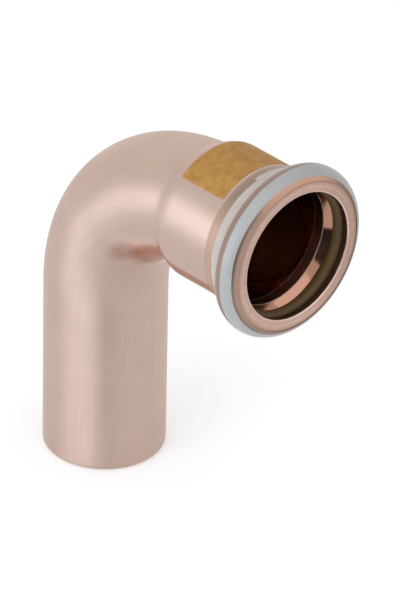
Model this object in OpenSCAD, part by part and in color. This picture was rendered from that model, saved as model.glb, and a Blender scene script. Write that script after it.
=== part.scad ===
// Press elbow for gas pipe, 90 degrees, with one plain end and one press socket.
// The plain end stands along +Z with its face at the origin, and the socket opens along +X.
// A bead rolled at the socket's mouth holds the seal ring, and a shrunk film covers the bead.

/* [Tube] */
// Outside diameter of the plain end, which is the size of the pipe
tube_od = 22; // [18:0.5:28]
// Wall of the copper tube
wall = 1.4; // [1.2:0.1:1.8]
// Radius of the bend, at the middle of the tube
bend_r = 26.4; // [20:0.2:60]
// Straight length of the plain end, from its face to the bend
leg_len = 33.3; // [16:0.1:120]
// Rounding of the plain end's outer edge
end_round = 1; // [0.2:0.1:1.2]

/* [Socket] */
// Depth that a pipe goes in, from the mouth to the stop
socket_depth = 20.5; // [18:0.5:40]
// Gap between a pipe and the socket's bore, on the radius
pipe_gap = 0.2; // [0.1:0.05:0.4]
// How far the socket's shoulder reaches back over the end of the bend
shoulder_lap = 2.2; // [1.6:0.1:4]
// Rounding of the shoulder where it passes into the sleeve
shoulder_round = 5; // [4:0.5:8]
// Fillet where the shoulder rises from the bend
shoulder_fillet = 0.8; // [0.4:0.1:1.5]

/* [Bead] */
// Outer radius of the bead's round section
bead_round = 2.65; // [2.2:0.05:3.2]
// Fillet where the bead rises from the socket
bead_fillet = 0.6; // [0.3:0.1:1]
// Gap between a pipe and the lip of the mouth, on the radius
lip_gap = 0.62; // [0.3:0.02:0.9]
// Height of the cone that leads from the bore to the seal groove, on the radius
cone_h = 1.35; // [0.6:0.05:1.6]
// Angle of this cone to the socket's axis
cone_angle = 40; // [30:1:55]
// Rounding of the lip's two edges
edge_round = 0.3; // [0.1:0.05:0.45]

/* [Seal ring] */
// Height of the seal ring's section, from the pipe towards the groove's floor
seal_h = 3.08; // [2.9:0.02:3.8]
// Gap between a pipe and the unpressed seal ring, on the radius
seal_gap = 0.05; // [0:0.01:0.1]
// Gap between the seal ring and its groove, all round
seal_seat = 0.1; // [0.02:0.01:0.15]

/* [Indicator film] */
// Thickness of the shrunk film
film_t = 0.1; // [0.05:0.01:0.2]
// Length of the film on the socket, behind the bead's rear side
film_tail = 4.2; // [1:0.05:8]
// Angle that the film reaches over the bead's front, from the crown
film_front = 72; // [20:1:86]

/* [Colour marking] */
// Thickness of the paint
paint_t = 0.08; // [0.03:0.01:0.15]
// How far the marking reaches back over the shoulder's rounding
paint_lap = 0.9; // [0.2:0.1:1.4]
// Bare metal between the marking and the film
paint_front_gap = 0.6; // [0.2:0.05:5]
// Angle that the marking covers round the top of the socket
paint_angle = 80; // [20:1:200]

/* [Hidden] */
$fn = 96;
// Overlap that keeps cuts and joins clean
lap = 0.5;
tube_r = tube_od / 2;
bore_r = tube_r - wall;
// Height of the socket's axis above the plain end's face
axis_z = leg_len + bend_r;
// Socket, with lengths along its axis from the plain end's axis
socket_bore_r = tube_r + pipe_gap;
socket_r = socket_bore_r + wall;
// Depth of the shoulder's foot under the skin of the bend
foot_sink = 0.1;
foot_r = tube_r - foot_sink;
// Shoulder, whose fillet and rounding touch each other
shoulder_x = bend_r - shoulder_lap;
shoulder_core = socket_r - shoulder_round;
shoulder_end = shoulder_x + sqrt(
    pow(shoulder_round + shoulder_fillet, 2) - pow(foot_r + shoulder_fillet - shoulder_core, 2)
);
// Inside of the shoulder, and the place where it stops the edge of a pipe
stop_round = shoulder_round - wall;
stop_x = shoulder_end - sqrt(pow(stop_round, 2) - pow(tube_r - shoulder_core, 2));
mouth_x = stop_x + socket_depth;
lip_r = tube_r + lip_gap;
// Groove of the seal ring, and the bead around it with the centre of its section
groove_r = tube_r + seal_gap + seal_h + seal_seat;
groove_round = bead_round - wall;
groove_front = mouth_x - wall;
groove_rear = mouth_x - bead_round - groove_round;
bead_x = mouth_x - bead_round;
bead_core = groove_r - groove_round;
// Cone from the socket's bore to the rear side of the groove
cone_r = socket_bore_r + cone_h;
cone_x = groove_rear - cone_h / tan(cone_angle);
// Centre of the fillet, where it touches both the socket and the bead
fillet_r = socket_r + bead_fillet;
fillet_x = bead_x - sqrt(pow(bead_round + bead_fillet, 2) - pow(bead_core - fillet_r, 2));
film_start = bead_x - bead_round - film_tail;

// Turns a profile of (radius, length) round the socket's axis, with the angle centred on the top
module round_socket(angle = 360) {
    translate([0, 0, axis_z])
        rotate([0, 90, 0])
            rotate([0, 0, 180 - angle / 2])
                rotate_extrude(angle = angle)
                    children();
}

// A quarter of the bend's torus, from the top of the plain end to the socket
module bend(r) {
    translate([bend_r, 0, leg_len])
        rotate([90, 0, 180])
            rotate_extrude(angle = 90)
                translate([bend_r, 0])
                    circle(r);
}

// A rectangle between two corners
module span(low, high) {
    translate(low)
        square(high - low);
}

// Profile of a straight length up to the bend, with a cone on top that reaches into the bend
module leg(r, low) {
    polygon([[0, low], [r, low], [r, leg_len], [r - lap, leg_len + lap], [0, leg_len + lap]]);
}

// Outer profile of the plain end
module leg_outer() {
    leg(tube_r, end_round);
    span([0, 0], [tube_r - end_round, leg_len]);
    translate([tube_r - end_round, end_round])
        circle(end_round);
}

// Profile of the shoulder's foot with its fillet, which ends where it touches the rounding
module shoulder_foot(r, fillet) {
    difference() {
        polygon([
            [0, shoulder_x],
            [r + fillet, shoulder_x],
            [shoulder_core, shoulder_end],
            [0, shoulder_end]
        ]);
        translate([r + fillet, shoulder_x])
            circle(fillet);
    }
}

// Profile of the shoulder's rounding and the sleeve, grown outwards by the thickness of a skin
module sleeve(skin = 0) {
    translate([shoulder_core, shoulder_end])
        circle(shoulder_round + skin);
    span([0, shoulder_end], [socket_r + skin, bead_x]);
}

// Profile of the sleeve, the fillet and the bead, grown outwards by the thickness of a skin
module sleeve_and_bead(skin = 0) {
    sleeve(skin);
    difference() {
        polygon([
            [0, fillet_x],
            [fillet_r, fillet_x],
            [bead_core, bead_x],
            [0, bead_x]
        ]);
        translate([fillet_r, fillet_x])
            circle(bead_fillet - skin);
    }
    translate([bead_core, bead_x])
        circle(bead_round + skin);
}

// Outer profile of the socket, from its round shoulder to the flat rim of the mouth
module socket_outer() {
    shoulder_foot(foot_r, shoulder_fillet);
    sleeve_and_bead();
    span([0, bead_x], [bead_core, mouth_x]);
}

// Flare that rounds the edge of a hole at a face, with the wall running one way from the face
module hole_edge(r, face, way) {
    difference() {
        translate([0, min(face, face + way * edge_round)])
            square([r + edge_round, edge_round]);
        translate([r + edge_round, face + way * edge_round])
            circle(edge_round);
    }
}

// Inner profile of the socket: pipe stop, bore, cone behind the seal ring, groove and lip
module socket_inner() {
    shoulder_foot(foot_r - wall, shoulder_fillet + wall);
    translate([shoulder_core, shoulder_end])
        circle(stop_round);
    span([0, shoulder_end], [socket_bore_r, groove_rear]);
    polygon([[0, cone_x], [socket_bore_r, cone_x], [cone_r, groove_rear], [0, groove_rear]]);
    span([0, groove_rear], [bead_core, groove_front]);
    translate([bead_core, bead_x])
        circle(groove_round);
    hole_edge(lip_r, groove_front, 1);
    span([0, groove_front - lap], [lip_r, mouth_x + lap]);
    hole_edge(lip_r, mouth_x, -1);
}

// One piece of formed copper tube
module elbow_body() {
    color("#C9A898")
        difference() {
            union() {
                rotate_extrude()
                    leg_outer();
                bend(tube_r);
                round_socket()
                    socket_outer();
            }
            rotate_extrude()
                leg(bore_r, -lap);
            bend(bore_r);
            round_socket()
                socket_inner();
        }
}

// Moulded rubber ring with a long round section
module seal_ring() {
    round = groove_round - seal_seat;
    inner = tube_r + seal_gap + round;
    outer = groove_r - seal_seat - round;
    color("#5E4E33")
        round_socket() {
            for (r = [inner, outer])
                translate([r, bead_x])
                    circle(round);
            span([inner, bead_x - round], [outer, bead_x + round]);
        }
}

// Shrunk film that follows the sleeve, the fillet and the bead
module indicator_film() {
    reach = 2 * bead_round;
    color("#C6C2C0")
        round_socket()
            intersection() {
                difference() {
                    sleeve_and_bead(film_t);
                    sleeve_and_bead();
                    span([0, bead_x], [bead_core, mouth_x]);
                }
                union() {
                    span([socket_bore_r, film_start], [bead_core + reach, bead_x]);
                    polygon([
                        [bead_core, bead_x],
                        for (a = [-film_front, 0, film_front])
                            [bead_core, bead_x] + reach * [cos(a), sin(a)]
                    ]);
                }
            }
}

// Thin printed field of colour on top of the sleeve
module colour_marking() {
    color("#AD8351")
        round_socket(paint_angle)
            intersection() {
                difference() {
                    sleeve(paint_t);
                    sleeve();
                }
                span([tube_r, shoulder_end - paint_lap], [socket_r + wall, film_start - paint_front_gap]);
            }
}

elbow_body();
seal_ring();
indicator_film();
colour_marking();
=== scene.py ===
"""Looks of a 22 mm copper press elbow: drawn tube, seal ring, film on the bead and ochre print."""
import math

import bpy
from mathutils import Matrix, Vector


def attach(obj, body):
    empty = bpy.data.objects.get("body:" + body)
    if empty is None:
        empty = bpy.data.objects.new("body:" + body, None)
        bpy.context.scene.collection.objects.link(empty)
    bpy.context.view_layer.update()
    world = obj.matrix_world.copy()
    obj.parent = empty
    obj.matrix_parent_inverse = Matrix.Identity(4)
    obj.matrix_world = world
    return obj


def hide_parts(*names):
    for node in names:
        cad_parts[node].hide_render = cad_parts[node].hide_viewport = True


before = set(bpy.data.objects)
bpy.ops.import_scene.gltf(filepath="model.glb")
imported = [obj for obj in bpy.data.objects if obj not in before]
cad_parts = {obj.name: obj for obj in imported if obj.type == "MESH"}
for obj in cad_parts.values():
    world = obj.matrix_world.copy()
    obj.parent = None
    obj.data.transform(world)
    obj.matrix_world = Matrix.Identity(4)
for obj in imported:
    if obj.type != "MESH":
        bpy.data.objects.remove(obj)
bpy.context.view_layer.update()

# Sizes in mm and degrees, the same as in the part's source
MM = 0.001
TUBE_R, WALL, BEND_R, LEG_LEN, END_ROUND = 11.0, 1.4, 26.4, 33.3, 1.0
SOCKET_DEPTH, PIPE_GAP, LIP_GAP, EDGE_ROUND = 20.5, 0.2, 0.62, 0.3
SHOULDER_LAP, SHOULDER_ROUND, SHOULDER_FILLET, FOOT_SINK = 2.2, 5.0, 0.8, 0.1
BEAD_ROUND, BEAD_FILLET, CONE_H, CONE_ANGLE = 2.65, 0.6, 1.35, 40.0
SEAL_H, SEAL_GAP, SEAL_SEAT = 3.08, 0.05, 0.1
FILM_T, FILM_TAIL, FILM_FRONT = 0.1, 4.2, 72.0
PAINT_T, PAINT_LAP, PAINT_GAP, PAINT_HALF = 0.08, 0.9, 0.6, 40.0

# What follows from them; an X is a length along the socket's axis from the plain end's axis
BORE_R = TUBE_R - WALL
SOCKET_BORE_R = TUBE_R + PIPE_GAP
SOCKET_R = SOCKET_BORE_R + WALL
FOOT_CORE = TUBE_R - FOOT_SINK + SHOULDER_FILLET
SHOULDER_CORE = SOCKET_R - SHOULDER_ROUND
SHOULDER_END = BEND_R - SHOULDER_LAP + math.sqrt(
    (SHOULDER_ROUND + SHOULDER_FILLET) ** 2 - (FOOT_CORE - SHOULDER_CORE) ** 2)
STOP_ROUND = SHOULDER_ROUND - WALL
STOP_X = SHOULDER_END - math.sqrt(STOP_ROUND ** 2 - (TUBE_R - SHOULDER_CORE) ** 2)
MOUTH_X = STOP_X + SOCKET_DEPTH
LIP_R = TUBE_R + LIP_GAP
LIP_BACK = MOUTH_X - WALL
BEAD_X = MOUTH_X - BEAD_ROUND
GROOVE_ROUND = BEAD_ROUND - WALL
GROOVE_REAR = BEAD_X - GROOVE_ROUND
SEAL_ROUND = GROOVE_ROUND - SEAL_SEAT
SEAL_IN = TUBE_R + SEAL_GAP
SEAL_OUT = SEAL_IN + SEAL_H
BEAD_CORE = SEAL_OUT + SEAL_SEAT - GROOVE_ROUND
CONE_R = SOCKET_BORE_R + CONE_H
CONE_X = GROOVE_REAR - CONE_H / math.tan(math.radians(CONE_ANGLE))
FILLET_R = SOCKET_R + BEAD_FILLET
FILLET_X = BEAD_X - math.sqrt((BEAD_ROUND + BEAD_FILLET) ** 2 - (BEAD_CORE - FILLET_R) ** 2)
# Angle at which the bead's fillet passes into the bead
TANGENT = math.degrees(math.atan2(BEAD_X - FILLET_X, BEAD_CORE - FILLET_R))
FILM_START = BEAD_X - BEAD_ROUND - FILM_TAIL
PAINT_END = FILM_START - PAINT_GAP

# Forms too fine for the part's source: broken edges inside the mouth and the shoulder's soft foot
EDGE_BREAK, FOOT_ROUND = 0.15, 3.2
# A light line painted in the bore, a painted highlight standing for a thin bright arc: how far behind
# the cone, and how wide
LINE_GLINT_BACK, LINE_GLINT_WIDE = 2.0, 0.14
# Degrees under the film's front edge in which the tube's skin passes into the faced rim
RIM_BLEND = 4.0
# Marks that tell the copper's material where it is: outside, on the faced rim, on its rounded inner
# edge, on the cone behind the seal ring, on the cone's edge and on the line behind it, both painted
# with a highlight, in the sized band between these two, in the bore, on the lip and in the seal groove,
# and in the depth of the bend
OUTSIDE, RIM, LEAD_IN, CONE, EDGE_GLINT, LINE_GLINT, SIZED, BORE, LIP, DEPTH = (
    0.0, 0.2, 0.3, 0.5, 0.75, 0.82, 0.88, 1.0, 1.4, 2.0)
# Sides of a whole turn, and rings along the bend
SIDES, BEND_STEPS = 192, 72


def linear(code):
    """sRGB hex colour as linear RGBA."""
    parts = [int(code[i:i + 2], 16) / 255 for i in (1, 3, 5)]
    return [c / 12.92 if c <= 0.04045 else ((c + 0.055) / 1.055) ** 2.4 for c in parts] + [1.0]


def add(tree, kind, inputs=None, **settings):
    """Adds a node and gives its outputs; an input is a constant or the socket that feeds it."""
    made = tree.nodes.new(kind)
    for name, value in settings.items():
        setattr(made, name, value)
    for key, value in (inputs or {}).items():
        if isinstance(value, bpy.types.NodeSocket):
            tree.links.new(value, made.inputs[key])
        else:
            made.inputs[key].default_value = value
    return made.outputs


# Kinds of node that come often. A mix takes its share at 0, two numbers at 2 and 3 or two colours at
# 6 and 7, and gives a number at 0 or a colour at 2
MATH, MIX = "ShaderNodeMath", "ShaderNodeMix"
RANGE, NOISE = "ShaderNodeMapRange", "ShaderNodeTexNoise"
# Most values of a noise lie between these two
NOISE_LOW, NOISE_HIGH = 0.3, 0.7


# Profiles. A point is (radius, run, turn, lap, mark). Run is the length along the leg below the bend or
# along the socket beyond it, turn goes from 0 to 1 round the bend, and lap is how far before the bend's
# end the bend is cut. Mark is the zone of the copper, or the way along the film's section in mm

def arc(centre, radius, start, end, steps):
    """(radius, length) points on an arc; the angle is 0 straight out and 90 towards the mouth."""
    angles = [math.radians(start + (end - start) * i / steps) for i in range(steps + 1)]
    return [(centre[0] + radius * math.cos(a), centre[1] + radius * math.sin(a)) for a in angles]


def line(start, end, steps):
    """Points on a line, without its start."""
    return [tuple(a + (b - a) * i / steps for a, b in zip(start, end)) for i in range(1, steps + 1)]


def broken_edge(before, corner, after):
    """A corner of two lines, rounded over EDGE_BREAK so that it catches the light."""
    corner = Vector(corner)
    start = corner + (Vector(before) - corner).normalized() * EDGE_BREAK
    end = corner + (Vector(after) - corner).normalized() * EDGE_BREAK
    points = []
    for share in (0, 0.25, 0.5, 0.75, 1):
        rest = 1 - share
        points.append(tuple(start * rest ** 2 + corner * 2 * share * rest + end * share * share))
    return points


def socket_points(points, mark=OUTSIDE):
    """Profile points of the socket from (radius, X)."""
    return [(r, max(x - BEND_R, 0.0), 1.0, max(BEND_R - x, 0.0), mark) for r, x in points]


def leg_points(points, mark=OUTSIDE):
    """Profile points of the leg from (radius, height)."""
    return [(r, z - LEG_LEN, 0.0, 0.0, mark) for r, z in points]


def bend_points(r, turns, cut_x, mark=OUTSIDE):
    """Profile points round the bend, which ends at cut_x."""
    return [(r, 0.0, t, BEND_R - cut_x, mark) for t in turns]


def sleeve_and_bead(out, start_x, front, bead_steps=48):
    """Sleeve, fillet and bead moved outwards, from a place on the sleeve to an angle on the bead."""
    points = [(SOCKET_R + out, start_x)]
    points += line(points[-1], (SOCKET_R + out, FILLET_X), 16)
    points += arc((FILLET_R, FILLET_X), BEAD_FILLET - out, 180, TANGENT, 10)[1:]
    points += arc((BEAD_CORE, BEAD_X), BEAD_ROUND + out, TANGENT - 180, front, bead_steps)[1:]
    return points


def shoulder(tube_r, rounding):
    """The shoulder's S-curve from the bend's skin to the sleeve; its foot runs out on the bend."""
    foot_r = tube_r + FOOT_ROUND
    foot_x = SHOULDER_END - math.sqrt((rounding + FOOT_ROUND) ** 2 - (foot_r - SHOULDER_CORE) ** 2)
    tangent = math.degrees(math.atan2(SHOULDER_END - foot_x, SHOULDER_CORE - foot_r))
    foot = arc((foot_r, foot_x), FOOT_ROUND, 180, tangent, 8)
    return foot + arc((SHOULDER_CORE, SHOULDER_END), rounding, tangent - 180, 0, 18)[1:]


def elbow_profile():
    """The tube's wall: shoulder, bead and rim, in through the mouth to the leg, and back outside."""
    outer = shoulder(TUBE_R, SHOULDER_ROUND)
    outer += sleeve_and_bead(0, SHOULDER_END, FILM_FRONT - RIM_BLEND)[1:]
    rim = arc((BEAD_CORE, BEAD_X), BEAD_ROUND, FILM_FRONT, 90, 6)
    rim += line(rim[-1], (LIP_R + EDGE_ROUND, MOUTH_X), 8)
    lip_front = (LIP_R + EDGE_ROUND, MOUTH_X - EDGE_ROUND)
    lead_in = arc(lip_front, EDGE_ROUND, 90, 150, 4)[1:]
    groove = arc(lip_front, EDGE_ROUND, 165, 180, 1)
    groove += arc((LIP_R + EDGE_ROUND, LIP_BACK + EDGE_ROUND), EDGE_ROUND, 180, 270, 6)
    groove += line(groove[-1], (BEAD_CORE, LIP_BACK), 3)
    groove += arc((BEAD_CORE, BEAD_X), GROOVE_ROUND, 90, -90, 24)[1:]
    cone_top, cone_foot = (CONE_R, GROOVE_REAR), (SOCKET_BORE_R, CONE_X)
    cone = broken_edge((BEAD_CORE, GROOVE_REAR), cone_top, cone_foot)
    glinting_edge = broken_edge(cone_top, cone_foot, (SOCKET_BORE_R, STOP_X))
    cone.append(glinting_edge.pop(0))
    line_x = CONE_X - LINE_GLINT_BACK
    sized = [glinting_edge.pop(), (SOCKET_BORE_R, line_x + LINE_GLINT_WIDE)]
    glint_points = [(SOCKET_BORE_R, line_x + LINE_GLINT_WIDE / 2), (SOCKET_BORE_R, line_x - LINE_GLINT_WIDE / 2)]
    stop = shoulder(BORE_R, STOP_ROUND)
    bore = [(SOCKET_BORE_R, line_x - LINE_GLINT_WIDE)]
    bore += line(bore[-1], (SOCKET_BORE_R, SHOULDER_END), 12) + stop[-2::-1]
    points = []
    for part, mark in (
        (outer, OUTSIDE), (rim, RIM), (lead_in, LEAD_IN), (groove, LIP), (cone, CONE),
        (glinting_edge, EDGE_GLINT), (sized, SIZED), (glint_points, LINE_GLINT), (bore, BORE),
    ):
        points += socket_points(part, mark)
    turns = [i / BEND_STEPS for i in range(BEND_STEPS + 1)]
    leg_inner = [(BORE_R, LEG_LEN)] + line((BORE_R, LEG_LEN), (BORE_R, 0), 12)
    leg_outer = line((BORE_R, 0), (TUBE_R - END_ROUND, 0), 2)
    leg_outer += arc((TUBE_R - END_ROUND, END_ROUND), END_ROUND, -90, 0, 12)[1:]
    leg_outer += line(leg_outer[-1], (TUBE_R, LEG_LEN), 24)
    points += bend_points(BORE_R, turns[-2:0:-1], stop[0][1], DEPTH) + leg_points(leg_inner, DEPTH)
    points += leg_points(leg_outer) + bend_points(TUBE_R, turns[1:-1], outer[0][1])
    return points


def seal_profile():
    """The ring's long round section."""
    points = []
    for r, start in ((SEAL_OUT - SEAL_ROUND, -90), (SEAL_IN + SEAL_ROUND, 90)):
        points += arc((r, BEAD_X), SEAL_ROUND, start, start + 180, 28)
    return socket_points(points)


def film_profile():
    """The film's outer and inner side; each point is marked with its way along the section."""
    outer = sleeve_and_bead(FILM_T, FILM_START, FILM_FRONT, 72)
    inner = sleeve_and_bead(0, FILM_START, FILM_FRONT, 72)
    ways = [0.0]
    for here, there in zip(outer, outer[1:]):
        ways.append(ways[-1] + math.dist(here, there))
    points = list(zip(outer, ways)) + list(zip(inner, ways))[::-1]
    return [socket_points([point], way)[0] for point, way in points]


def marking_profile():
    """The paint's outer and inner side, from the shoulder's rounding along the sleeve."""
    sides = []
    for out in (PAINT_T, 0):
        start = -math.degrees(math.asin(PAINT_LAP / (SHOULDER_ROUND + out)))
        side = arc((SHOULDER_CORE, SHOULDER_END), SHOULDER_ROUND + out, start, 0, 6)
        sides.append(side + line(side[-1], (SOCKET_R + out, PAINT_END), 24))
    return socket_points(sides[0] + sides[1][::-1])


TREE_INPUTS = (
    ("Profile", "NodeSocketGeometry"), ("Points", "NodeSocketInt"), ("Sides", "NodeSocketInt"),
    ("From angle", "NodeSocketFloat"), ("To angle", "NodeSocketFloat"),
    ("Bend radius", "NodeSocketFloat"), ("Leg length", "NodeSocketFloat"),
    ("End radius", "NodeSocketFloat"), ("Material", "NodeSocketMaterial"),
)
# Points this close in m are one point, and an edge with at least this angle in degrees stays sharp
WELD, SHARP = 2e-6, 38
# The first and the last row are half the turn away from the middle one
NEARLY_HALF = 0.4999


def turned_tree():
    """Geometry nodes that turn a profile round the tube's axis and lay it along leg, bend and socket."""
    tree = bpy.data.node_groups.new("turned_along_the_tube", "GeometryNodeTree")
    for name, kind in TREE_INPUTS:
        tree.interface.new_socket(name, in_out="INPUT", socket_type=kind)
    tree.interface.new_socket("Piece", in_out="OUTPUT", socket_type="NodeSocketGeometry")
    sizes = add(tree, "NodeGroupInput")

    # A grid with one row of points for each side; the last row and the last point meet the first
    along = add(tree, MATH, {0: sizes["Points"], 1: 1}, operation="ADD")[0]
    around = add(tree, MATH, {0: sizes["Sides"], 1: 1}, operation="ADD")[0]
    made = add(tree, "GeometryNodeMeshGrid", {"Vertices X": around, "Vertices Y": along})["Mesh"]
    index = add(tree, "GeometryNodeInputIndex")[0]
    row = add(tree, MATH, {0: index, 1: along}, operation="DIVIDE")[0]
    row = add(tree, MATH, {0: row}, operation="FLOOR")[0]
    place = add(tree, MATH, {0: index, 1: along}, operation="MODULO")[0]
    place = add(tree, MATH, {0: place, 1: sizes["Points"]}, operation="MODULO")[0]

    # The profile's values at each point
    sample = {"Geometry": sizes["Profile"], "Index": place}
    point = {**sample, "Value": add(tree, "GeometryNodeInputPosition")[0]}
    point = add(tree, "GeometryNodeSampleIndex", point, data_type="FLOAT_VECTOR")[0]
    radius, run, turn = add(tree, "ShaderNodeSeparateXYZ", {0: point})
    sampled = []
    for name in ("lap", "mark"):
        value = add(tree, "GeometryNodeInputNamedAttribute", {"Name": name}, data_type="FLOAT")[0]
        value = add(tree, "GeometryNodeSampleIndex", {**sample, "Value": value}, data_type="FLOAT")[0]
        sampled.append(value)
    lap, mark = sampled

    # Place round the tube; an end radius above zero closes a piece that goes only part of the way
    share = add(tree, MATH, {0: row, 1: sizes["Sides"]}, operation="DIVIDE")[0]
    span = add(tree, MATH, {0: sizes["To angle"], 1: sizes["From angle"]}, operation="SUBTRACT")[0]
    angle = {0: share, 1: span, 2: sizes["From angle"]}
    angle = add(tree, MATH, angle, operation="MULTIPLY_ADD")[0]
    away = add(tree, MATH, {0: share, 1: 0.5}, operation="SUBTRACT")[0]
    away = add(tree, MATH, {0: away}, operation="ABSOLUTE")[0]
    last = add(tree, MATH, {0: away, 1: NEARLY_HALF}, operation="GREATER_THAN")[0]
    closed = add(tree, MATH, {0: sizes["End radius"], 1: 0.0}, operation="GREATER_THAN")[0]
    pinch = add(tree, MATH, {0: last, 1: closed}, operation="MULTIPLY")[0]
    radius = add(tree, MIX, {0: pinch, 2: radius, 3: sizes["End radius"]})[0]
    angle_cosine = add(tree, MATH, {0: angle}, operation="COSINE")[0]
    angle_sine = add(tree, MATH, {0: angle}, operation="SINE")[0]
    inward = add(tree, MATH, {0: radius, 1: angle_cosine}, operation="MULTIPLY")[0]
    across = add(tree, MATH, {0: radius, 1: angle_sine}, operation="MULTIPLY")[0]

    # Place along the bent axis
    reach = add(tree, MATH, {0: sizes["Bend radius"], 1: inward}, operation="SUBTRACT")[0]
    cut = add(tree, MATH, {0: lap, 1: reach}, operation="DIVIDE")[0]
    cut = add(tree, MATH, {0: cut}, operation="ARCSINE")[0]
    whole = add(tree, MATH, {0: math.pi / 2, 1: cut}, operation="SUBTRACT")[0]
    bent = add(tree, MATH, {0: turn, 1: whole}, operation="MULTIPLY")[0]
    cosine = add(tree, MATH, {0: bent}, operation="COSINE")[0]
    sine = add(tree, MATH, {0: bent}, operation="SINE")[0]
    x = add(tree, MATH, {0: reach, 1: cosine}, operation="MULTIPLY")[0]
    x = add(tree, MATH, {0: sizes["Bend radius"], 1: x}, operation="SUBTRACT")[0]
    x = add(tree, MATH, {0: run, 1: sine, 2: x}, operation="MULTIPLY_ADD")[0]
    z = {0: reach, 1: sine, 2: sizes["Leg length"]}
    z = add(tree, MATH, z, operation="MULTIPLY_ADD")[0]
    z = add(tree, MATH, {0: run, 1: cosine, 2: z}, operation="MULTIPLY_ADD")[0]
    shaped = add(tree, "ShaderNodeCombineXYZ", {"X": x, "Y": across, "Z": z})[0]

    # For the materials: the place on the tube as if it were straight, and the way round the tube
    quarter = {0: sizes["Bend radius"], 1: math.pi / 2}
    quarter = add(tree, MATH, quarter, operation="MULTIPLY")[0]
    length = add(tree, MATH, {0: turn, 1: quarter, 2: run}, operation="MULTIPLY_ADD")[0]
    straight = add(tree, "ShaderNodeCombineXYZ", {"X": inward, "Y": across, "Z": length})[0]
    back = add(tree, MATH, {0: angle_sine, 1: -1.0}, operation="MULTIPLY")[0]
    round_x = add(tree, MATH, {0: back, 1: cosine}, operation="MULTIPLY")[0]
    round_z = add(tree, MATH, {0: angle_sine, 1: sine}, operation="MULTIPLY")[0]
    round_way = {"X": round_x, "Y": angle_cosine, "Z": round_z}
    round_way = add(tree, "ShaderNodeCombineXYZ", round_way)[0]
    for name, kind, value in (
        ("tube", "FLOAT_VECTOR", straight),
        ("round_way", "FLOAT_VECTOR", round_way),
        ("mark", "FLOAT", mark),
    ):
        stored = {"Geometry": made, "Name": name, "Value": value}
        stored = add(tree, "GeometryNodeStoreNamedAttribute", stored, data_type=kind, domain="POINT")
        made = stored[0]

    made = add(tree, "GeometryNodeSetPosition", {"Geometry": made, "Position": shaped})[0]
    made = add(tree, "GeometryNodeMergeByDistance", {"Geometry": made, "Distance": WELD})[0]
    made = add(tree, "GeometryNodeSetShadeSmooth", {0: made, "Shade Smooth": True})[0]
    edge = add(tree, "GeometryNodeInputMeshEdgeAngle")["Unsigned Angle"]
    soft = add(tree, MATH, {0: edge, 1: math.radians(SHARP)}, operation="LESS_THAN")[0]
    soft = {0: made, "Shade Smooth": soft}
    made = add(tree, "GeometryNodeSetShadeSmooth", soft, domain="EDGE")[0]
    made = add(tree, "GeometryNodeRealizeInstances", {0: made})[0]
    made = add(tree, "GeometryNodeSetMaterial", {0: made, "Material": sizes["Material"]})[0]
    add(tree, "NodeGroupOutput", {0: made})
    return tree


TURNED = turned_tree()


def turned_piece(name, profile, finish, start=0.0, end=360.0, end_radius=0.0):
    """A piece turned from its profile, as a plain mesh in metres."""
    mesh = bpy.data.meshes.new(name)
    mesh.from_pydata([(r * MM, run * MM, turn) for r, run, turn, _, _ in profile], [], [])
    laps = [lap * MM for _, _, _, lap, _ in profile]
    marks = [mark for _, _, _, _, mark in profile]
    for flag, values in (("lap", laps), ("mark", marks)):
        mesh.attributes.new(flag, "FLOAT", "POINT").data.foreach_set("value", values)
    piece = bpy.data.objects.new(name, mesh)
    bpy.context.scene.collection.objects.link(piece)
    shape = piece.modifiers.new("shape", "NODES")
    shape.node_group = TURNED
    values = {
        "Points": len(profile), "Sides": SIDES,
        "From angle": math.radians(start), "To angle": math.radians(end),
        "Bend radius": BEND_R * MM, "Leg length": LEG_LEN * MM, "End radius": end_radius * MM,
        "Material": finish,
    }
    for socket in TURNED.interface.items_tree:
        if socket.name in values:
            shape[socket.identifier] = values[socket.name]
    shaped = piece.evaluated_get(bpy.context.evaluated_depsgraph_get())
    made = bpy.data.meshes.new_from_object(shaped)
    made.name = name
    piece.modifiers.clear()
    piece.data = made
    return piece


def material(name):
    """A new material with its tree and its shader."""
    made = bpy.data.materials.new(name)
    made.use_nodes = True
    return made, made.node_tree, made.node_tree.nodes["Principled BSDF"]


# Patterns of the copper in mm: cloudy patches, drawing lines, rings of the facing tool, and relief.
# A drawing line is 25 times as long as it is wide. Real lines and rings are finer: these are as coarse
# as they need to be to show
CLOUD, DRAWN, RINGS, RELIEF, DRAWN_LONG = 9.0, 0.7, 0.3, 0.03, 25
# Share of the drawing lines in the copper's tone
LINE_SHARE = 0.4
# Radii in mm between which the rim's flat face passes into its flank, which is painted darker as painted
# shade
FLANK = (13.15, 13.5)
# Painted shade on the rim's far side: the place across in mm where it starts and is full, and its
# strength
FAR_SHADE_SIDE, FAR_SHADE = (3.0, 12.0), 0.35
# Lengths along the bend in mm where the bending tool's polish starts and is full, and where the
# painted red reflection under the sleeve starts and is full
BEND_LENGTH = BEND_R * math.pi / 2
POLISH_RUN, UNDER_REFLECTION_RUN = (20.0, 30.0), (BEND_LENGTH - 4.0, BEND_LENGTH)
# The same round the tube, as the cosine of the angle from its inner side
POLISH_SIDE, UNDER_REFLECTION_SIDE = (0.2, 0.5), (0.4, 0.6)
# Painted reflection spots: angle from the inner side and turn of the bend in degrees, half width and
# half length in mm, and colour; a spot is full in the inner fifth of its size
# Red of the painted reflection of the copper, under the sleeve and in the first reflection spot
REFLECTED_RED = "#D8A38B"
REFLECTION_SPOTS = ((47, 74, 4.5, 11.0, REFLECTED_RED), (54, 58, 3.2, 9.0, "#AA8A7C"))
REFLECTION_FULL = 0.2
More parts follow.
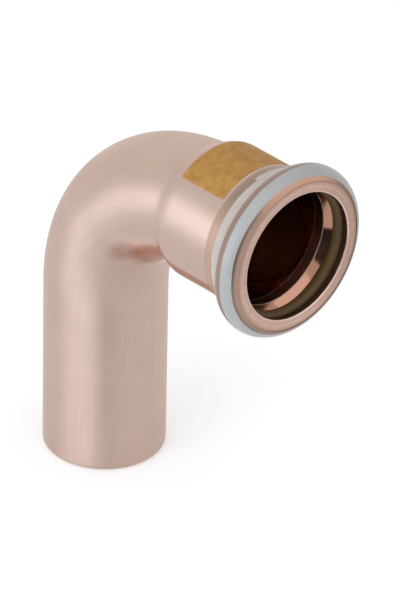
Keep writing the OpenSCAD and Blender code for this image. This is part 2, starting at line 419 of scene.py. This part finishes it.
# Roughness outside, on the polished flank, the rim and its rounded edge, and then inside
SATIN, POLISHED, FACED, ROUNDED = (0.43, 0.49), 0.17, 0.36, 0.33
CONE_GLOSS, BORE_GLOSS, DEPTH_DULL, EDGE_GLINT_DULL = 0.13, 0.08, 0.5, 0.5
# Painted shade covers marks this near to the lip's, and the painted highlight of the cone's edge fades
# over this distance from its mark
LIP_SHADE_NEAR, EDGE_GLINT_NEAR = 0.1, 0.2


# Drawn copper, pickled and slightly dulled: a soft pink satin outside, and a bright cone and a dark bore
# in the mouth
def drawn_copper():
    made, tree, shader = material("drawn_copper")
    tube = add(tree, "ShaderNodeAttribute", attribute_name="tube")["Vector"]
    mark = add(tree, "ShaderNodeAttribute", attribute_name="mark")["Fac"]
    inward, across, length = add(tree, "ShaderNodeSeparateXYZ", {0: tube})
    # Cloudy patches, and drawing lines that run along the tube
    cloud = add(tree, NOISE, {"Vector": tube, "Scale": 1 / (CLOUD * MM), "Detail": 3.0})["Fac"]
    drawn = add(tree, "ShaderNodeMapping", {"Vector": tube, "Scale": (1, 1, 1 / DRAWN_LONG)})[0]
    lines = add(tree, NOISE, {"Vector": drawn, "Scale": 1 / (DRAWN * MM), "Detail": 4.0})["Fac"]
    tone = add(tree, MIX, {0: LINE_SHARE, 2: cloud, 3: lines})[0]
    outer = {0: tone, 6: linear("#B89F92"), 7: linear("#D2B9AC")}
    outer = add(tree, MIX, outer, data_type="RGBA")[2]
    # Fine rings where the rim was faced; the radius changes only there
    flat = add(tree, "ShaderNodeMapping", {"Vector": tube, "Scale": (1, 1, 0)})[0]
    radius = add(tree, "ShaderNodeVectorMath", {0: flat}, operation="LENGTH")["Value"]
    rings = {"W": radius, "Scale": 1 / (RINGS * MM), "Detail": 2.0}
    rings = add(tree, NOISE, rings, noise_dimensions="1D")["Fac"]
    cut = add(tree, MIX, {0: LINE_SHARE, 2: rings, 3: lines})[0]
    faced = {0: cut, 6: linear("#96705F"), 7: linear("#DCC0B2")}
    faced = add(tree, MIX, faced, data_type="RGBA")[2]
    # The flank is painted darker brown: painted shade standing for its darker reflection
    flank = {"Value": radius, "From Min": FLANK[0] * MM, "From Max": FLANK[1] * MM}
    flank = add(tree, RANGE, flank)[0]
    faced = add(tree, MIX, {0: flank, 6: faced, 7: linear("#A58474")}, data_type="RGBA")[2]
    # The rim is painted browner on the far side, away from the key light: painted shade
    far_shade = {"Value": across, "From Min": FAR_SHADE_SIDE[0] * MM, "From Max": FAR_SHADE_SIDE[1] * MM}
    far_shade = add(tree, RANGE, {**far_shade, "To Max": FAR_SHADE})[0]
    faced = add(tree, MIX, {0: far_shade, 6: faced, 7: linear("#8F6C5B")}, data_type="RGBA")[2]
    # Its rounded inner edge is smoother, and painted lighter: a painted highlight where the rounding
    # catches the light
    lead_in = add(tree, RANGE, {"Value": mark, "From Min": RIM, "From Max": LEAD_IN})[0]
    faced = add(tree, MIX, {0: lead_in, 6: faced, 7: linear("#D3B6A8")}, data_type="RGBA")[2]
    rim = add(tree, RANGE, {"Value": mark, "From Min": OUTSIDE, "From Max": RIM})[0]
    # Cone, bore and depth
    ramp = add(tree, RANGE, {"Value": mark, "From Min": CONE, "From Max": BORE})[0]
    inner = {0: ramp, 6: linear("#A67B66"), 7: linear("#AC836E")}
    inner = add(tree, MIX, inner, data_type="RGBA")[2]
    deep = add(tree, RANGE, {"Value": mark, "From Min": BORE, "From Max": DEPTH})[0]
    inner = add(tree, MIX, {0: deep, 6: inner, 7: linear("#A47C69")}, data_type="RGBA")[2]
    # The lip's inner face and the groove are painted darker: painted shade in the recess behind the lip
    lip_shade = add(tree, MATH, {0: mark, 1: LIP, 2: LIP_SHADE_NEAR}, operation="COMPARE")[0]
    inner = add(tree, MIX, {0: lip_shade, 6: inner, 7: linear("#70503F")}, data_type="RGBA")[2]
    # Painted highlight: the cone's edge is painted light and made rough, the line behind it less so, and
    # the sized band least
    glinting_edge = add(tree, MATH, {0: mark, 1: EDGE_GLINT}, operation="SUBTRACT")[0]
    glinting_edge = add(tree, MATH, {0: glinting_edge}, operation="ABSOLUTE")[0]
    glinting_edge = add(tree, RANGE, {"Value": glinting_edge, "From Min": EDGE_GLINT_NEAR, "From Max": 0.0})[0]
    inner = add(tree, MIX, {0: glinting_edge, 6: inner, 7: linear("#DDB5A2")}, data_type="RGBA")[2]
    inside = add(tree, MATH, {0: mark, 1: (RIM + CONE) / 2}, operation="GREATER_THAN")[0]
    # The bending tool has polished the bend's inner flank, and the underside of the sleeve is painted
    # red: a painted reflection of the copper facing it
    facing = add(tree, MATH, {0: inward, 1: radius}, operation="DIVIDE")[0]
    polish = {"Value": facing, "From Min": POLISH_SIDE[0], "From Max": POLISH_SIDE[1]}
    polish = add(tree, RANGE, polish, interpolation_type="SMOOTHSTEP")[0]
    bent = {"Value": length, "From Min": POLISH_RUN[0] * MM, "From Max": POLISH_RUN[1] * MM}
    bent = add(tree, RANGE, bent, interpolation_type="SMOOTHSTEP")[0]
    polish = add(tree, MATH, {0: polish, 1: bent}, operation="MULTIPLY")[0]
    under_reflection = {"Value": facing, "From Min": UNDER_REFLECTION_SIDE[0], "From Max": UNDER_REFLECTION_SIDE[1]}
    under_reflection = add(tree, RANGE, under_reflection)[0]
    sleeve = {"Value": length, "From Min": UNDER_REFLECTION_RUN[0] * MM, "From Max": UNDER_REFLECTION_RUN[1] * MM}
    sleeve = add(tree, RANGE, sleeve)[0]
    under_reflection = add(tree, MATH, {0: under_reflection, 1: sleeve}, operation="MULTIPLY")[0]
    outer = add(tree, MIX, {0: under_reflection, 6: outer, 7: linear(REFLECTED_RED)}, data_type="RGBA")[2]
    # Painted reflections on the bend's two flanks, the same on both sides: a red spot and a darker one
    across = add(tree, MATH, {0: across}, operation="ABSOLUTE")[0]
    flanks = add(tree, "ShaderNodeCombineXYZ", {"X": inward, "Y": across, "Z": length})[0]
    for angle, turn, wide, long, code in REFLECTION_SPOTS:
        a = math.radians(angle)
        middle = Vector((TUBE_R * math.cos(a), TUBE_R * math.sin(a), BEND_LENGTH * turn / 90))
        scale = Vector((1 / wide, 1 / wide, 1 / long))
        away = {"Vector": flanks, "Location": -middle * scale, "Scale": scale / MM}
        away = add(tree, "ShaderNodeMapping", away)[0]
        away = add(tree, "ShaderNodeVectorMath", {0: away}, operation="LENGTH")["Value"]
        spot = {"Value": away, "From Min": 1.0, "From Max": REFLECTION_FULL}
        spot = add(tree, RANGE, spot, interpolation_type="SMOOTHSTEP")[0]
        outer = add(tree, MIX, {0: spot, 6: outer, 7: linear(code)}, data_type="RGBA")[2]
    outer = add(tree, MIX, {0: rim, 6: outer, 7: faced}, data_type="RGBA")[2]
    colour = add(tree, MIX, {0: inside, 6: outer, 7: inner}, data_type="RGBA")[2]
    rough = {"Value": tone, "From Min": NOISE_LOW, "From Max": NOISE_HIGH}
    rough = add(tree, RANGE, {**rough, "To Min": SATIN[0], "To Max": SATIN[1]})[0]
    for share, value in ((polish, POLISHED), (rim, FACED), (lead_in, ROUNDED)):
        rough = add(tree, MIX, {0: share, 2: rough, 3: value})[0]
    dull = add(tree, RANGE, {"Value": ramp, "To Min": CONE_GLOSS, "To Max": BORE_GLOSS})[0]
    for share, value in ((deep, DEPTH_DULL), (glinting_edge, EDGE_GLINT_DULL)):
        dull = add(tree, MIX, {0: share, 2: dull, 3: value})[0]
    rough = add(tree, MIX, {0: inside, 2: rough, 3: dull})[0]
    # The depth is half covered with oxide
    metal = add(tree, RANGE, {"Value": deep, "To Min": 1.0, "To Max": 0.5})[0]
    metal = add(tree, MIX, {0: inside, 2: 1.0, 3: metal})[0]
    height = add(tree, MIX, {0: 0.5, 2: lines, 3: rings})[0]
    grain = {"Height": height, "Strength": 0.08, "Distance": RELIEF * MM}
    grain = add(tree, "ShaderNodeBump", grain)[0]
    round_way = add(tree, "ShaderNodeAttribute", attribute_name="round_way")["Vector"]
    for socket, value in (
        ("Base Color", colour), ("Metallic", metal), ("Roughness", rough), ("Normal", grain),
        ("Tangent", round_way),
    ):
        tree.links.new(value, shader.inputs[socket])
    # The fine scratches of tumbling lie round the tube, which stretches the gloss along it
    shader.inputs["Anisotropic"].default_value = 0.7
    shader.inputs["Anisotropic Rotation"].default_value = 0.25
    return made


# The rubber's grain, coarser than the real one so that it shows, and its relief in mm
RUBBER_GRAIN, RUBBER_RELIEF = 0.5, 0.02
# How much painted shade darkens it towards the lip
SEAL_SHADE = 0.55


# Moulded nitrile rubber: dark olive brown with a fine grain and a dull sheen
def moulded_rubber():
    made, tree, shader = material("moulded_rubber")
    place = add(tree, "ShaderNodeTexCoord")["Object"]
    fine = {"Vector": place, "Scale": 1 / (RUBBER_GRAIN * MM), "Detail": 4.0}
    fine = add(tree, NOISE, fine)["Fac"]
    colour = {0: fine, 6: linear("#5C4522"), 7: linear("#6F542E")}
    colour = add(tree, MIX, colour, data_type="RGBA")[2]
    # Painted shade darkens it towards the lip, which shades it
    along = add(tree, "ShaderNodeSeparateXYZ", {0: place})["X"]
    seal_shade = {"Value": along, "From Min": BEAD_X * MM, "From Max": (BEAD_X + SEAL_ROUND) * MM}
    seal_shade = add(tree, RANGE, {**seal_shade, "To Max": SEAL_SHADE})[0]
    colour = add(tree, MIX, {0: seal_shade, 6: colour, 7: linear("#3A2E1A")}, data_type="RGBA")[2]
    bump = {"Height": fine, "Strength": 0.15, "Distance": RUBBER_RELIEF * MM}
    bump = add(tree, "ShaderNodeBump", bump)[0]
    tree.links.new(colour, shader.inputs["Base Color"])
    tree.links.new(bump, shader.inputs["Normal"])
    shader.inputs["Roughness"].default_value = 0.5
    shader.inputs["Specular IOR Level"].default_value = 0.3
    return made


def bead_way(angle):
    """Way in mm along the film's section to an angle on the bead, from its crown to the front."""
    fillet = math.radians(180 - TANGENT) * (BEAD_FILLET - FILM_T)
    bead = math.radians(angle + 180 - TANGENT) * (BEAD_ROUND + FILM_T)
    return FILLET_X - FILM_START + fillet + bead


# Film, with ways along its section in mm and angles round the tube from the top in degrees.
# A way in the gap between the white bands, and the way to the front edge
BAND_GAP, FRONT_END = bead_way(-12), bead_way(FILM_FRONT)
# White bands from and to a way, and whether the rear edge follows the seam's step
WHITE_BANDS = ((1.15, bead_way(-23), True), (bead_way(2), bead_way(60), False))
# Angle of the print's seam, step of the rear edge there, wander of the edges, and their softness
FILM_SEAM, FILM_STEP, FILM_WANDER, BAND_EDGE = -12.0, 0.7, 0.1, 0.12
# The front edge of the print lies askew, furthest back at this angle
FILM_LEAN, LEAN_ANGLE = 0.58, -60.0
# Copper seen through the clear film, with painted shade that is darkest along the white bands' edges
CLEAR_TONES = (
    (0.0, "#AE9484"), (1.5, "#96806F"), (BAND_GAP, "#9A8476"), (bead_way(62), "#7F695D"),
    (FRONT_END, "#A18574"),
)
# Painted highlight where the copper glints through at the top: cosine of the angle from the top, and way
GLINT_TOP, GLINT_WAY = (0.75, 0.95), (bead_way(40), bead_way(50))
# Painted highlight where it shows bright on the near side: place across in mm, and way
NEAR_SIDE, NEAR_WAY = (-7.0, -11.0), (2.2, 1.6)
# Patterns in mm: waves of the print's edges, cloudiness, and ripples in height
EDGE_WAVE, FILM_CLOUD, FILM_RIPPLE = 4.0, 2.5, 0.05
# Dimmest tone of the white ink, and how metallic the copper looks under the clear film
INK_LOW, CLEAR_METAL = 0.94, 0.75


# Clear polymer film shrunk on the bead, with two printed white bands and a satin gloss; the copper shows
# through where it is clear
def shrunk_film():
    made, tree, shader = material("shrunk_film")
    way = add(tree, "ShaderNodeAttribute", attribute_name="mark")["Fac"]
    tube = add(tree, "ShaderNodeAttribute", attribute_name="tube")["Vector"]
    place = add(tree, "ShaderNodeTexCoord")["Object"]
    inward, across, _ = add(tree, "ShaderNodeSeparateXYZ", {0: tube})
    top = add(tree, MATH, {0: inward, 1: -1.0}, operation="MULTIPLY")[0]
    around = add(tree, MATH, {0: across, 1: top}, operation="ARCTAN2")[0]
    # The print starts and ends at a seam near the top, where its rear edge steps
    seam = add(tree, MATH, {0: around, 1: math.radians(FILM_SEAM)}, operation="SUBTRACT")[0]
    seam = add(tree, MATH, {0: seam, 1: 2 * math.pi, 2: 0.0}, operation="WRAP")[0]
    step = {"Value": seam, "From Min": 0.0, "From Max": 2 * math.pi, "To Max": FILM_STEP}
    step = add(tree, RANGE, step)[0]
    # The edges of the print wander a little, as the film shrinks
    wander = {"Vector": place, "Scale": 1 / (EDGE_WAVE * MM), "Detail": 2.0}
    wander = add(tree, NOISE, wander)["Fac"]
    wander = {"Value": wander, "To Min": -FILM_WANDER, "To Max": FILM_WANDER}
    wander = add(tree, RANGE, wander)[0]
    print_way = add(tree, MATH, {0: way, 1: wander}, operation="ADD")[0]
    askew = add(tree, MATH, {0: around, 1: math.radians(LEAN_ANGLE)}, operation="SUBTRACT")[0]
    askew = add(tree, MATH, {0: askew}, operation="COSINE")[0]
    lean_way = {0: askew, 1: FILM_LEAN, 2: print_way}
    lean_way = add(tree, MATH, lean_way, operation="MULTIPLY_ADD")[0]
    white = 0.0
    for start, end, stepped in WHITE_BANDS:
        past = add(tree, MATH, {0: print_way, 1: start}, operation="SUBTRACT")[0]
        front = lean_way
        if stepped:
            past = add(tree, MATH, {0: past, 1: step}, operation="SUBTRACT")[0]
            front = print_way
        rise = add(tree, RANGE, {"Value": past, "From Min": 0.0, "From Max": BAND_EDGE})[0]
        fall = {"Value": front, "From Min": end, "From Max": end - BAND_EDGE}
        fall = add(tree, RANGE, fall)[0]
        band = add(tree, MATH, {0: rise, 1: fall}, operation="MULTIPLY")[0]
        white = add(tree, MATH, {0: white, 1: band}, operation="MAXIMUM")[0]
    # The white ink is slightly cloudy, and warmer on the rear band
    cloud = {"Vector": place, "Scale": 1 / (FILM_CLOUD * MM), "Detail": 4.0}
    cloud = add(tree, NOISE, cloud)["Fac"]
    rear = add(tree, MATH, {0: way, 1: BAND_GAP}, operation="LESS_THAN")[0]
    ink = {0: rear, 6: linear("#ADABA7"), 7: linear("#C1B7AE")}
    ink = add(tree, MIX, ink, data_type="RGBA")[2]
    dim = {"Value": cloud, "From Min": NOISE_LOW, "From Max": NOISE_HIGH, "To Min": INK_LOW}
    dim = add(tree, RANGE, dim)[0]
    ink = add(tree, MIX, {0: dim, 6: linear("#000000"), 7: ink}, data_type="RGBA")[2]
    share = add(tree, MATH, {0: lean_way, 1: FRONT_END}, operation="DIVIDE")[0]
    clear = add(tree, "ShaderNodeValToRGB", {0: share})[0]
    stops = clear.node.color_ramp.elements
    for i, (stop, tone) in enumerate(CLEAR_TONES):
        if i >= len(stops):
            stops.new(1.0)
        stops[i].position = stop / FRONT_END
        stops[i].color = linear(tone)
    # At the top the bead's front is painted a lighter orange: a painted highlight where the copper
    # glints through the film
    high = add(tree, MATH, {0: around}, operation="COSINE")[0]
    high = {"Value": high, "From Min": GLINT_TOP[0], "From Max": GLINT_TOP[1]}
    high = add(tree, RANGE, high)[0]
    fore = {"Value": way, "From Min": GLINT_WAY[0], "From Max": GLINT_WAY[1]}
    fore = add(tree, RANGE, fore)[0]
    glint = add(tree, MATH, {0: high, 1: fore}, operation="MULTIPLY")[0]
    clear = add(tree, MIX, {0: glint, 6: clear, 7: linear("#C39A83")}, data_type="RGBA")[2]
    # On the near side, towards the key light, the copper by the rear edge is painted bright: a painted
    # highlight
    near = {"Value": across, "From Min": NEAR_SIDE[0] * MM, "From Max": NEAR_SIDE[1] * MM}
    near = add(tree, RANGE, near)[0]
    near_light = {"Value": way, "From Min": NEAR_WAY[0], "From Max": NEAR_WAY[1]}
    near_light = add(tree, RANGE, near_light)[0]
    near_light = add(tree, MATH, {0: near, 1: near_light}, operation="MULTIPLY")[0]
    clear = add(tree, MIX, {0: near_light, 6: clear, 7: linear("#B89685")}, data_type="RGBA")[2]
    colour = add(tree, MIX, {0: white, 6: clear, 7: ink}, data_type="RGBA")[2]
    metal = add(tree, RANGE, {"Value": white, "To Min": CLEAR_METAL, "To Max": 0.0})[0]
    ripple = {"Height": cloud, "Strength": 0.1, "Distance": FILM_RIPPLE * MM}
    ripple = add(tree, "ShaderNodeBump", ripple)[0]
    for socket, value in (("Base Color", colour), ("Metallic", metal), ("Normal", ripple)):
        tree.links.new(value, shader.inputs[socket])
    shader.inputs["Roughness"].default_value = 0.34
    return made


# The print's cloudiness and relief in mm
PRINT_CLOUD, PRINT_RELIEF = 1.6, 0.02


# Matt ochre pad print with a slightly cloudy, speckled cover
def ochre_print():
    made, tree, shader = material("ochre_print")
    place = add(tree, "ShaderNodeTexCoord")["Object"]
    cloud = {"Vector": place, "Scale": 1 / (PRINT_CLOUD * MM), "Detail": 4.0, "Roughness": 0.65}
    cloud = add(tree, NOISE, cloud)["Fac"]
    cover = add(tree, RANGE, {"Value": cloud, "From Min": NOISE_LOW, "From Max": NOISE_HIGH})[0]
    colour = {0: cover, 6: linear("#A37231"), 7: linear("#BE8E4B")}
    colour = add(tree, MIX, colour, data_type="RGBA")[2]
    bump = {"Height": cloud, "Strength": 0.1, "Distance": PRINT_RELIEF * MM}
    bump = add(tree, "ShaderNodeBump", bump)[0]
    tree.links.new(colour, shader.inputs["Base Color"])
    tree.links.new(bump, shader.inputs["Normal"])
    shader.inputs["Roughness"].default_value = 0.6
    shader.inputs["Specular IOR Level"].default_value = 0.3
    return made


# Piece, node that it stands for, slot, profile, finish, and for the print its angles and end radius
PIECES = (
    ("copper_elbow", "elbow_body", "copper", elbow_profile(), drawn_copper(), ()),
    ("rubber_seal", "seal_ring", "seal_rubber", seal_profile(), moulded_rubber(), ()),
    ("bead_film", "indicator_film", "film", film_profile(), shrunk_film(), ()),
    ("ochre_field", "colour_marking", "ochre_paint", marking_profile(), ochre_print(),
     (180 - PAINT_HALF, 180 + PAINT_HALF, SOCKET_R)),
)
for name, node, slot, profile, finish, part_turn in PIECES:
    piece = turned_piece(name, profile, finish, *part_turn)
    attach(piece, "root")
    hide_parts(node)


# Studio: a pale floor that is white to the camera and to reflections, a white room and soft lamps.
# Half the floor's width in m
FLOOR_HALF = 3.0
# What the floor adds for the camera and for reflections rises between two distances in m, because the
# lamps light it less far off
FLOOR_NEAR, FLOOR_FAR, NEAR_LIFT, FAR_LIFT = 0.2, 1.0, 0.3, 0.48
# The room's light on the object, and what the camera and reflections see of the room
ROOM_LIGHT, ROOM_WHITE = 0.6, 1.0
# The dark flag's azimuth from the mouth in degrees, and its distance, width and heights in m
FLAG_AZIMUTH, FLAG_AWAY, FLAG_WIDE, FLAG_LOW, FLAG_HIGH = 36, 0.12, 0.1, 0.006, 0.112
# Point that the lamps face, and their cool white
LAMP_CENTRE, LAMP_COLOUR = Vector((18, 0, 40)) * MM, "#E7F1FF"
# Lamps: name, azimuth and elevation in degrees, distance, width and height in m, and watts
LAMPS = (
    ("key_softbox", 4, 12, 0.7, 0.92, 0.55, 3.45),
    ("top_softbox", 100, 66, 0.8, 1.1, 0.9, 1.9),
)
# Camera of the photograph: target, angles in degrees, distance in m, focal length and sensor in mm
CAMERA_TARGET, CAMERA_DISTANCE = Vector((24.046, 0, 40.117)) * MM, 0.91667
CAMERA_AZIMUTH, CAMERA_ELEVATION, CAMERA_ROLL = 46.442, 31.833, 1.288
FOCAL_LENGTH, SENSOR_HEIGHT = 319.9, 36


def ray_share(tree):
    """1 for camera, glossy and transmission rays, which see the white background."""
    path = add(tree, "ShaderNodeLightPath")
    share = path["Is Camera Ray"]
    for other in ("Is Glossy Ray", "Is Transmission Ray"):
        share = add(tree, MATH, {0: share, 1: path[other]}, operation="MAXIMUM")[0]
    return share


def direction(azimuth, elevation):
    """Unit vector; azimuth 0 is -Y and 90 is +X."""
    a, e = math.radians(azimuth), math.radians(elevation)
    return Vector((math.sin(a) * math.cos(e), -math.cos(a) * math.cos(e), math.sin(e)))


def pale_floor():
    """Matt pale floor that keeps the shadow."""
    made = bpy.data.materials.new("pale_floor")
    made.use_nodes = True
    tree = made.node_tree
    tree.nodes.clear()
    matt = add(tree, "ShaderNodeBsdfDiffuse", {"Color": linear("#F4F4F4")})[0]
    place = add(tree, "ShaderNodeTexCoord")["Object"]
    away = add(tree, "ShaderNodeVectorMath", {0: place}, operation="LENGTH")["Value"]
    lift = {"Value": away, "From Min": FLOOR_NEAR, "From Max": FLOOR_FAR}
    lift = add(tree, RANGE, {**lift, "To Min": NEAR_LIFT, "To Max": FAR_LIFT})[0]
    lift = add(tree, MATH, {0: ray_share(tree), 1: lift}, operation="MULTIPLY")[0]
    glow = add(tree, "ShaderNodeEmission", {"Color": linear("#FFFFFF"), "Strength": lift})[0]
    both = add(tree, "ShaderNodeAddShader", {0: matt, 1: glow})[0]
    add(tree, "ShaderNodeOutputMaterial", {"Surface": both})
    return made


def stage_sheet(name, corners, finish):
    """A flat sheet of the studio."""
    mesh = bpy.data.meshes.new(name)
    mesh.from_pydata(corners, [], [range(len(corners))])
    mesh.materials.append(finish)
    sheet = bpy.data.objects.new(name, mesh)
    bpy.context.scene.collection.objects.link(sheet)
    return sheet


corners = [(x * FLOOR_HALF, y * FLOOR_HALF, 0) for x, y in ((-1, -1), (1, -1), (1, 1), (-1, 1))]
stage_sheet("floor", corners, pale_floor())

# A low dark flag in front of the mouth, seen only in reflections, gives the polished cone its dark gap
black, _, shader = material("black_card")
shader.inputs["Base Color"].default_value = linear("#0A0A0E")
middle = Vector((MOUTH_X * MM, 0, 0)) + direction(FLAG_AZIMUTH, 0) * FLAG_AWAY
side = direction(FLAG_AZIMUTH + 90, 0) * FLAG_WIDE / 2
low, high = Vector((0, 0, FLAG_LOW)), Vector((0, 0, FLAG_HIGH))
corners = [middle - side + low, middle + side + low, middle + side + high, middle - side + high]
flag = stage_sheet("dark_flag", corners, black)
flag.visible_camera = False
flag.visible_diffuse = False
flag.visible_shadow = False

world = bpy.data.worlds.new("soft_white_room")
world.use_nodes = True
bpy.context.scene.world = world
tree = world.node_tree
tree.nodes.clear()
strength = add(tree, MIX, {0: ray_share(tree), 2: ROOM_LIGHT, 3: ROOM_WHITE})[0]
room = add(tree, "ShaderNodeBackground", {"Color": linear("#FFFFFF"), "Strength": strength})[0]
add(tree, "ShaderNodeOutputWorld", {"Surface": room})

for name, azimuth, elevation, distance, width, height, watts in LAMPS:
    lamp = bpy.data.lights.new(name, "AREA")
    lamp.shape = "ELLIPSE"
    lamp.size, lamp.size_y = width, height
    lamp.energy = watts
    lamp.color = linear(LAMP_COLOUR)[:3]
    holder = bpy.data.objects.new(name, lamp)
    way = direction(azimuth, elevation)
    turn = way.to_track_quat("Z", "Y").to_matrix().to_4x4()
    holder.matrix_world = Matrix.Translation(LAMP_CENTRE + way * distance) @ turn
    bpy.context.scene.collection.objects.link(holder)

lens = bpy.data.cameras.new("camera")
lens.sensor_fit = "VERTICAL"
lens.sensor_height = SENSOR_HEIGHT
lens.lens = FOCAL_LENGTH
camera = bpy.data.objects.new("camera", lens)
back = direction(CAMERA_AZIMUTH, CAMERA_ELEVATION)
right = direction(CAMERA_AZIMUTH + 90, 0)
roll = Matrix.Rotation(math.radians(CAMERA_ROLL), 4, back)
axes = Matrix((right, back.cross(right), back)).transposed().to_4x4()
camera.matrix_world = Matrix.Translation(CAMERA_TARGET + back * CAMERA_DISTANCE) @ roll @ axes
bpy.context.scene.collection.objects.link(camera)
bpy.context.scene.camera = camera
bpy.context.scene.view_settings.view_transform = "Standard"
